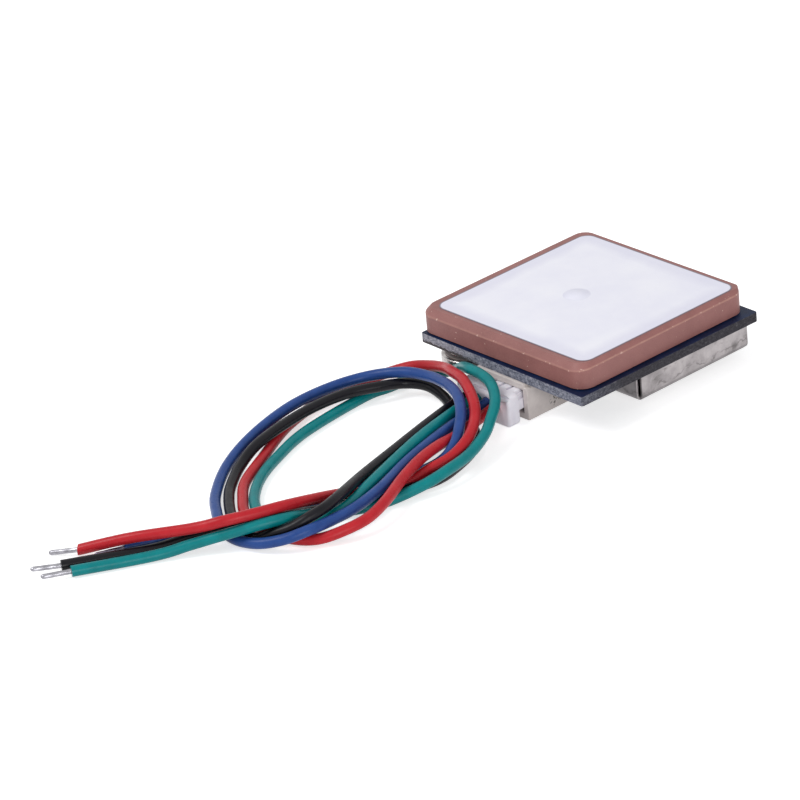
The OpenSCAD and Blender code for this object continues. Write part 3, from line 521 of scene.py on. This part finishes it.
class Graph:
    """Material with a Principled shader, and short calls to add nodes to it."""

    def __init__(self, name, **sockets):
        self.material = bpy.data.materials.new(name)
        self.material.use_nodes = True
        self.tree = self.material.node_tree
        self.shader = self.tree.nodes["Principled BSDF"]
        self.place = self.add("ShaderNodeTexCoord").outputs["Object"]
        for key, value in sockets.items():
            self.shader.inputs[key.replace("_", " ")].default_value = value

    def add(self, kind, inputs=(), **settings):
        """New node with its settings, and with values or links on its inputs."""
        node = self.tree.nodes.new(kind)
        for key, value in settings.items():
            setattr(node, key, value)
        for key, value in dict(inputs).items():
            self.put(node.inputs[key], value)
        return node

    def put(self, socket, value):
        """Links an output to a socket, or sets a plain value on it."""
        if isinstance(value, bpy.types.NodeSocket):
            self.tree.links.new(value, socket)
        else:
            socket.default_value = value

    def set(self, key, value):
        """Puts an output or a value on the shader."""
        self.put(self.shader.inputs[key], value)

    def noise(self, scale, detail=4.0, roughness=0.5, stretch=None):
        """Cloudy value from 0 to 1, with about scale clouds a metre."""
        where = self.place
        if stretch:
            where = self.add("ShaderNodeMapping", {"Vector": where, "Scale": stretch}).outputs[0]
        inputs = {"Vector": where, "Scale": scale, "Detail": detail, "Roughness": roughness}
        return self.add("ShaderNodeTexNoise", inputs).outputs["Fac"]

    def ramp(self, factor, stops):
        """Value or colour between stops, each a factor and its value or colour."""
        node = self.add("ShaderNodeValToRGB", {"Fac": factor})
        marks = node.color_ramp.elements
        while len(marks) < len(stops):
            marks.new(0.5)
        for mark, (at, colour) in zip(marks, stops):
            mark.position = at
            mark.color = colour if isinstance(colour, tuple) else (colour, colour, colour, 1)
        return node.outputs["Color"]

    def math(self, operation, a, b=0.0):
        """Result of a sum on one or two values."""
        return self.add("ShaderNodeMath", {0: a, 1: b}, operation=operation).outputs[0]

    def times(self, a, b):
        """Product of two values."""
        return self.math("MULTIPLY", a, b)

    def vector_math(self, operation, a, b=(0.0, 0.0, 0.0)):
        """Vector from a sum on one or two vectors."""
        return self.add("ShaderNodeVectorMath", {0: a, 1: b}, operation=operation).outputs[0]

    def distance(self, point):
        """Distance from a point of the part."""
        inputs = {0: self.place, 1: point}
        return self.add("ShaderNodeVectorMath", inputs, operation="DISTANCE").outputs["Value"]

    def mix(self, factor, a, b):
        """Colour a where the factor is 0, and colour b where it is 1."""
        node = self.add("ShaderNodeMix", data_type="RGBA")
        self.put(node.inputs["Factor"], factor)
        self.put(node.inputs[MIX_COLOUR_A], a)
        self.put(node.inputs[MIX_COLOUR_B], b)
        return node.outputs[MIX_COLOUR_OUT]

    def bump(self, height, strength, distance):
        """Fine relief on the shader."""
        inputs = {"Height": height, "Strength": strength, "Distance": distance}
        self.set("Normal", self.add("ShaderNodeBump", inputs).outputs[0])

    def axes(self):
        """Place on the part, as X, Y and Z."""
        return self.add("ShaderNodeSeparateXYZ", {"Vector": self.place}).outputs

    def facing(self):
        """The face's own direction, as X, Y and Z."""
        normal = self.add("ShaderNodeNewGeometry").outputs["True Normal"]
        return self.add("ShaderNodeSeparateXYZ", {"Vector": normal}).outputs


def rgb(red, green, blue):
    """Display colour, 0 to 255 a channel, as a linear colour."""
    def linear(c):
        c = c / 255
        return c / 12.92 if c <= 0.04045 else ((c + 0.055) / 1.055) ** 2.4
    return (linear(red), linear(green), linear(blue), 1)


PER_CM = 100.0


def ceramic_material():
    """Fired brown ceramic, with pale chips and specks, and a painted highlight along the bevel's
    lower edge that is strongest on the right side, where the light falls.
    """
    g = Graph("fired_ceramic", Roughness=0.5)
    cloud = g.noise(scale=420, detail=6, roughness=0.6)
    base = g.ramp(cloud, [(0.3, rgb(134, 86, 82)), (0.7, rgb(152, 100, 96))])
    grain = g.ramp(g.noise(scale=11000, detail=3, roughness=0.6), [(0.4, 0.0), (0.75, 0.3)])
    base = g.mix(grain, base, rgb(170, 118, 112))
    chips_and_highlight = g.add("ShaderNodeAttribute", attribute_name="chips_and_highlight").outputs["Fac"]
    # Painted highlight: a pale line along the bevel's lower edge, full on the right side, which
    # faces the light, and half as strong elsewhere; the chips below are real
    on_right = g.ramp(g.times(g.axes()[0], PER_CM), [(0.8, 0.5), (0.86, 1.0)])
    highlight_breaks = g.ramp(g.noise(scale=1500, roughness=0.7), [(0.3, 0.45), (0.6, 0.9)])
    line = g.times(g.times(chips_and_highlight, highlight_breaks), on_right)
    base = g.mix(line, base, rgb(182, 134, 122))
    chips = g.times(chips_and_highlight, g.ramp(g.noise(scale=3200, detail=2), [(0.64, 0.0), (0.69, 1.0)]))
    specks = g.ramp(g.noise(scale=3600, detail=2, roughness=0.4), [(0.74, 0.0), (0.78, 0.8)])
    marks = g.math("MAXIMUM", chips, specks)
    g.set("Base Color", g.mix(marks, base, rgb(214, 180, 168)))
    relief = g.math("ADD", g.noise(scale=9000), g.noise(scale=1800, detail=3))
    g.bump(relief, strength=0.25, distance=0.04 * MM)
    return g.material


PRINT_CORNER = 1.0 * MM
BAND_WIDTH = 2.0 * MM
BAND_WOBBLE = 0.6 * MM
BAND_STRENGTH = 0.5
RIM_WIDTH = 0.15 * MM
RIM_STRENGTH = 0.9


def print_material(low, high):
    """Silver print, a little darker in a band along its border and along its very edge."""
    middle = (low + high) / 2
    half = (high - low) / 2
    g = Graph("silver_print", Roughness=0.45, Metallic=0.0)
    size = g.vector_math("ABSOLUTE", g.vector_math("SUBTRACT", g.place, middle))
    inner = (half.x - PRINT_CORNER, half.y - PRINT_CORNER, 1.0)
    over = g.vector_math("SUBTRACT", size, inner)
    parts = g.add("ShaderNodeSeparateXYZ", {"Vector": over}).outputs
    x_squared = g.math("POWER", g.math("MAXIMUM", parts[0], 0.0), 2.0)
    y_squared = g.math("POWER", g.math("MAXIMUM", parts[1], 0.0), 2.0)
    reach = g.math("SQRT", g.math("ADD", x_squared, y_squared))
    inside = g.math("MINIMUM", g.math("MAXIMUM", parts[0], parts[1]), 0.0)
    depth = g.math("SUBTRACT", PRINT_CORNER, g.math("ADD", reach, inside))
    cloud = g.noise(scale=260, roughness=0.55)
    field = g.ramp(cloud, [(0.35, rgb(240, 240, 252)), (0.65, rgb(246, 246, 255))])
    wobble = g.times(g.noise(scale=500, detail=2), BAND_WOBBLE)
    in_band = g.math("DIVIDE", g.math("ADD", depth, wobble), BAND_WIDTH)
    band = g.times(g.ramp(in_band, [(0.55, 1.0), (1.0, 0.0)]), BAND_STRENGTH)
    base = g.mix(band, field, rgb(221, 220, 239))
    in_rim = g.math("DIVIDE", depth, RIM_WIDTH)
    rim = g.times(g.ramp(in_rim, [(0.4, 1.0), (1.0, 0.0)]), RIM_STRENGTH)
    g.set("Base Color", g.mix(rim, base, rgb(92, 76, 88)))
    g.bump(g.noise(scale=6000, detail=3), strength=0.12, distance=0.02 * MM)
    return g.material


PER_HALF_BOARD = 110.0
FRAY_FOOT = 3.0 * MM
FRAY_HEIGHT = 1.0 * MM
FRAY_WOBBLE = 0.9 * MM


def board_material():
    """Dark blue mask on the flat faces, sawn glass-fibre laminate on the edges."""
    g = Graph("board_laminate")
    facing = g.facing()
    flat = g.ramp(g.math("ABSOLUTE", facing[2]), [(0.55, 0.0), (0.7, 1.0)])
    mask = g.ramp(g.noise(scale=900, detail=3), [(0.3, rgb(6, 20, 48)), (0.7, rgb(10, 34, 72))])
    fibre = g.noise(scale=3800, detail=8, roughness=0.8, stretch=(1.0, 1.0, 1.6))
    front = g.ramp(fibre, [
        (0.34, rgb(54, 58, 72)), (0.5, rgb(118, 121, 136)), (0.66, rgb(186, 187, 198)),
    ])
    pale = g.ramp(fibre, [
        (0.36, rgb(94, 96, 106)), (0.5, rgb(156, 157, 168)), (0.64, rgb(214, 214, 221)),
    ])
    side = g.ramp(fibre, [
        (0.35, rgb(36, 35, 40)), (0.55, rgb(62, 60, 66)), (0.78, rgb(116, 114, 116)),
    ])
    place = g.axes()
    to_left = g.times(place[0], -PER_HALF_BOARD)
    to_front = g.times(place[1], -PER_HALF_BOARD)
    front = g.mix(g.ramp(to_left, [(0.1, 0.0), (0.7, 0.9)]), front, pale)
    fray = g.times(g.noise(scale=2400, detail=6, roughness=0.7), FRAY_WOBBLE)
    above = g.math("SUBTRACT", g.math("ADD", place[2], fray), FRAY_FOOT)
    low_down = g.ramp(g.math("DIVIDE", above, FRAY_HEIGHT), [(0.66, 1.0), (0.74, 0.0)])
    torn = g.times(low_down, g.ramp(to_left, [(0.25, 0.0), (0.45, 0.85)]))
    front = g.mix(torn, front, rgb(58, 54, 50))
    side = g.mix(g.ramp(to_front, [(0.55, 0.0), (1.0, 0.45)]), side, front)
    edge = g.mix(g.math("ABSOLUTE", facing[0]), front, side)
    g.set("Base Color", g.mix(flat, edge, mask))
    g.set("Specular IOR Level", 0.2)
    g.set("Roughness", g.ramp(flat, [(0.0, 0.75), (1.0, 0.5)]))
    g.bump(fibre, strength=0.3, distance=0.03 * MM)
    return g.material


SPOT_SIZE = 1.0 * MM
SPOT_WOBBLE = 0.5 * MM
BLOT_AT = (8.8 * MM, 7.4 * MM, 1.5 * MM)
TIDE_HEIGHT = 3.2 * MM
TIDE_SWING = 3.6 * MM
TIDE_WIDTH = 0.2 * MM


def tinplate_material():
    """Tin-plated sheet with smudges, a blot, tide marks and fine scratches, and painted shade on
    the faces turned to the front and on those turned down.
    """
    g = Graph("tinplate", Metallic=0.85)
    smudge = g.noise(scale=420, detail=5, roughness=0.65)
    streak = g.noise(scale=1500, detail=6, roughness=0.7, stretch=(1.0, 0.35, 1.0))
    base = g.ramp(smudge, [(0.35, rgb(142, 137, 138)), (0.65, rgb(180, 174, 175))])
    base = g.mix(g.ramp(streak, [(0.56, 0.0), (0.7, 0.75)]), base, rgb(104, 99, 98))
    away = g.math("ADD", g.distance(BLOT_AT), g.times(g.noise(scale=2600), SPOT_WOBBLE))
    blot = g.ramp(g.math("DIVIDE", away, SPOT_SIZE), [(0.42, 0.7), (0.72, 0.0)])
    base = g.mix(blot, base, rgb(92, 88, 88))
    swing = g.times(g.noise(scale=520, detail=7, roughness=0.65), TIDE_SWING)
    height = g.math("SUBTRACT", g.math("ADD", g.axes()[2], swing), TIDE_HEIGHT)
    from_line = g.math("DIVIDE", g.math("ABSOLUTE", height), TIDE_WIDTH)
    tide = g.ramp(from_line, [(0.1, 0.6), (0.9, 0.0)])
    broken = g.ramp(g.noise(scale=900, detail=3), [(0.42, 0.0), (0.55, 1.0)])
    base = g.mix(g.times(tide, broken), base, rgb(96, 91, 91))
    # Painted shade: faces turned to the front, and faces turned down, are darkened
    facing = g.facing()
    painted_shade_front = g.ramp(g.times(facing[1], -1.0), [(0.6, 0.0), (0.9, 0.6)])
    below = g.ramp(g.times(facing[2], -1.0), [(0.05, 0.0), (0.3, 0.4)])
    g.set("Base Color", g.mix(g.math("MAXIMUM", painted_shade_front, below), base, rgb(84, 82, 84)))
    g.set("Roughness", g.ramp(smudge, [(0.3, 0.5), (0.7, 0.32)]))
    scratch = g.noise(scale=5200, detail=3, roughness=0.6, stretch=(1.0, 0.06, 1.0))
    g.bump(g.math("ADD", scratch, streak), strength=0.15, distance=0.02 * MM)
    return g.material


def moulded_graph(name, dark, light, roughness):
    """Moulded plastic with a fine satin skin, and its faintly clouded colour."""
    g = Graph(name, Roughness=roughness)
    clouded = g.ramp(g.noise(scale=800, roughness=0.6), [(0.3, dark), (0.7, light)])
    g.set("Base Color", clouded)
    g.bump(g.noise(scale=5000), strength=0.2, distance=0.02 * MM)
    return g, clouded


def moulded_material(name, dark, light, roughness, soft=0.0):
    """Plain moulded plastic, into which light sinks by the share soft."""
    g, _ = moulded_graph(name, dark, light, roughness)
    if soft:
        g.set("Subsurface Weight", soft)
        g.set("Subsurface Radius", (1.0, 0.9, 0.9))
        g.set("Subsurface Scale", 0.4 * MM)
    return g.material


SPECKS_AT = (3.1 * MM, -6.7 * MM, 0.9 * MM)
DARK_PATCH_AT = (3.3 * MM, -9.2 * MM, 2.95 * MM)


def header_material():
    """Ivory moulding with a few dark specks on its right side and a darker patch at its top by the
    plug, just under the board.
    """
    g, base = moulded_graph("header_ivory", rgb(200, 190, 187), rgb(218, 209, 205), 0.5)
    away = g.math("DIVIDE", g.distance(SPECKS_AT), SPOT_SIZE)
    near = g.ramp(away, [(0.45, 1.0), (0.75, 0.0)])
    specks = g.ramp(g.noise(scale=4200, detail=3, roughness=0.6), [(0.52, 0.0), (0.6, 0.85)])
    base = g.mix(g.times(near, specks), base, rgb(70, 64, 60))
    # Darker patch at the top of the right side by the plug, just under the board
    away = g.math("ADD", g.distance(DARK_PATCH_AT), g.times(g.noise(scale=3000), SPOT_WOBBLE))
    dark_patch = g.ramp(g.math("DIVIDE", away, SPOT_SIZE), [(0.4, 0.8), (0.6, 0.0)])
    g.set("Base Color", g.mix(dark_patch, base, rgb(78, 70, 66)))
    return g.material


def metal_material(name, dark, light, roughness):
    """Plated metal with faint clouding."""
    g = Graph(name, Metallic=1.0)
    cloud = g.noise(scale=1500, roughness=0.6)
    g.set("Base Color", g.ramp(cloud, [(0.3, dark), (0.7, light)]))
    g.set("Roughness", g.ramp(cloud, [(0.3, roughness * 1.3), (0.7, roughness * 0.8)]))
    g.bump(g.noise(scale=6000, detail=3), strength=0.1, distance=0.01 * MM)
    return g.material


def wire_material(name, dark, light):
    """Soft satin insulation, faintly clouded, with a fine drawn skin."""
    g = Graph(name)
    g.set("Specular IOR Level", 0.2)
    g.set("Base Color", g.ramp(g.noise(scale=900, roughness=0.6), [(0.3, dark), (0.7, light)]))
    g.set("Roughness", g.ramp(g.noise(scale=2200, detail=3), [(0.3, 0.26), (0.7, 0.4)]))
    g.bump(g.noise(scale=3800, detail=3), strength=0.1, distance=0.03 * MM)
    return g.material


# Materials by slot; the cell's gasket is seen pale, though its slot is named for the usual black
MATERIALS = {
    "brown_ceramic": ceramic_material(),
    "silver_print": print_material(*(widened_print(c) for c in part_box("antenna_electrode"))),
    "board_laminate": board_material(),
    "tinplate": tinplate_material(),
    "black_tape": moulded_material("black_tape", rgb(14, 16, 22), rgb(24, 27, 34), 0.7),
    "header_ivory": header_material(),
    "plug_white": moulded_material("plug_white", rgb(230, 226, 236), rgb(243, 240, 248), 0.4, 0.3),
    "chip_black": moulded_material("chip_black", rgb(30, 30, 33), rgb(44, 44, 48), 0.55),
    "gasket_black": moulded_material("gasket_black", rgb(186, 175, 172), rgb(208, 196, 193), 0.5),
    "passive_tan": moulded_material("passive_tan", rgb(150, 112, 78), rgb(178, 138, 98), 0.5),
    "passive_grey": moulded_material("passive_grey", rgb(96, 100, 106), rgb(122, 126, 132), 0.5),
    "crystal_metal": metal_material("crystal_metal", rgb(190, 170, 112), rgb(216, 198, 140), 0.35),
    "cell_steel": metal_material("cell_steel", rgb(156, 151, 149), rgb(196, 192, 190), 0.24),
    "tinned_metal": metal_material("tinned_metal", rgb(132, 131, 137), rgb(178, 177, 183), 0.33),
    "solder": moulded_material("solder", rgb(230, 230, 245), rgb(238, 238, 250), 0.8),
    "wire_black": wire_material("wire_black", rgb(11, 10, 16), rgb(19, 18, 25)),
    "wire_green": wire_material("wire_green", rgb(1, 118, 122), rgb(3, 132, 135)),
    "wire_blue": wire_material("wire_blue", rgb(34, 66, 130), rgb(44, 78, 144)),
    "wire_red": wire_material("wire_red", rgb(178, 30, 40), rgb(192, 39, 48)),
}
# Painted shade: a darker, lavender-grey copy of the tinned metal, for the blue wire's tip, which
# lies in shade under the red wire
SHADED_TIN = metal_material("tinned_painted_shade", rgb(110, 105, 121), rgb(144, 138, 154), 0.5)


def dress(piece, material):
    """Gives a piece one material."""
    piece.data.materials.clear()
    piece.data.materials.append(material)


for node, obj in NODES.items():
    dress(obj, MATERIALS[SLOT_OF[node]])
for node, piece in bodies.items():
    dress(piece, MATERIALS[SLOT_OF[node]])
for colour in ROUTES:
    dress(wires[colour], MATERIALS[f"wire_{colour}"])
    # The blue wire's tip takes the painted-shade copy of the tinned metal
    dress(tips[colour], SHADED_TIN if colour == "blue" else MATERIALS["tinned_metal"])

# Floor, light and world
WHITE = (1, 1, 1, 1)
FLOOR_SIZE = 3.0
FLOOR_COLOUR = (0.82, 0.82, 0.83, 1)
FLOOR_GLOW = 0.62
WORLD_LIGHT = 0.5


def seen_directly(tree):
    """1 for rays that should meet a white background: straight, mirrored or let through."""
    path = tree.nodes.new("ShaderNodeLightPath")
    seen = path.outputs["Is Camera Ray"]
    for kind in ("Is Glossy Ray", "Is Transmission Ray"):
        either = tree.nodes.new("ShaderNodeMath")
        either.operation = "MAXIMUM"
        tree.links.new(seen, either.inputs[0])
        tree.links.new(path.outputs[kind], either.inputs[1])
        seen = either.outputs[0]
    return seen


def make_floor():
    """Pale floor that glows faintly to the camera, so that only the shadow shows on it."""
    bm = bmesh.new()
    bmesh.ops.create_grid(bm, x_segments=1, y_segments=1, size=FLOOR_SIZE / 2)
    mesh = bpy.data.meshes.new("floor")
    bm.to_mesh(mesh)
    bm.free()
    floor = bpy.data.objects.new("floor", mesh)
    bpy.context.scene.collection.objects.link(floor)
    material = bpy.data.materials.new("floor")
    material.use_nodes = True
    tree = material.node_tree
    shader = tree.nodes["Principled BSDF"]
    shader.inputs["Base Color"].default_value = FLOOR_COLOUR
    shader.inputs["Roughness"].default_value = 1.0
    shader.inputs["Specular IOR Level"].default_value = 0.0
    shader.inputs["Emission Color"].default_value = WHITE
    glow = tree.nodes.new("ShaderNodeMath")
    glow.operation = "MULTIPLY"
    glow.inputs[1].default_value = FLOOR_GLOW
    tree.links.new(seen_directly(tree), glow.inputs[0])
    tree.links.new(glow.outputs[0], shader.inputs["Emission Strength"])
    mesh.materials.append(material)


def make_world():
    """Plain soft light from all round, white where it is seen."""
    world = bpy.data.worlds.new("studio")
    bpy.context.scene.world = world
    world.use_nodes = True
    tree = world.node_tree
    background = tree.nodes["Background"]
    background.inputs["Color"].default_value = WHITE
    strength = tree.nodes.new("ShaderNodeMapRange")
    strength.inputs["To Min"].default_value = WORLD_LIGHT
    strength.inputs["To Max"].default_value = 1.0
    tree.links.new(seen_directly(tree), strength.inputs["Value"])
    tree.links.new(strength.outputs["Result"], background.inputs["Strength"])


LAMP_AIM = Vector((0, -0.012, 0.003))
LAMPS = {
    "key": dict(place=Vector((-0.12, -0.22, 0.34)), size=0.22, power=0.75),
    "fill": dict(place=Vector((0.32, -0.14, 0.10)), size=0.18, power=0.38),
}


def make_lamp(name, place, size, power):
    """Round soft lamp that points at the part."""
    data = bpy.data.lights.new(name, "AREA")
    data.shape = "DISK"
    data.size = size
    data.energy = power
    lamp = bpy.data.objects.new(name, data)
    lamp.location = place
    lamp.rotation_euler = (LAMP_AIM - place).to_track_quat("-Z", "Y").to_euler()
    bpy.context.scene.collection.objects.link(lamp)


make_floor()
make_world()
for lamp_name, lamp in LAMPS.items():
    make_lamp(lamp_name, **lamp)

bpy.context.scene.view_settings.view_transform = "Standard"
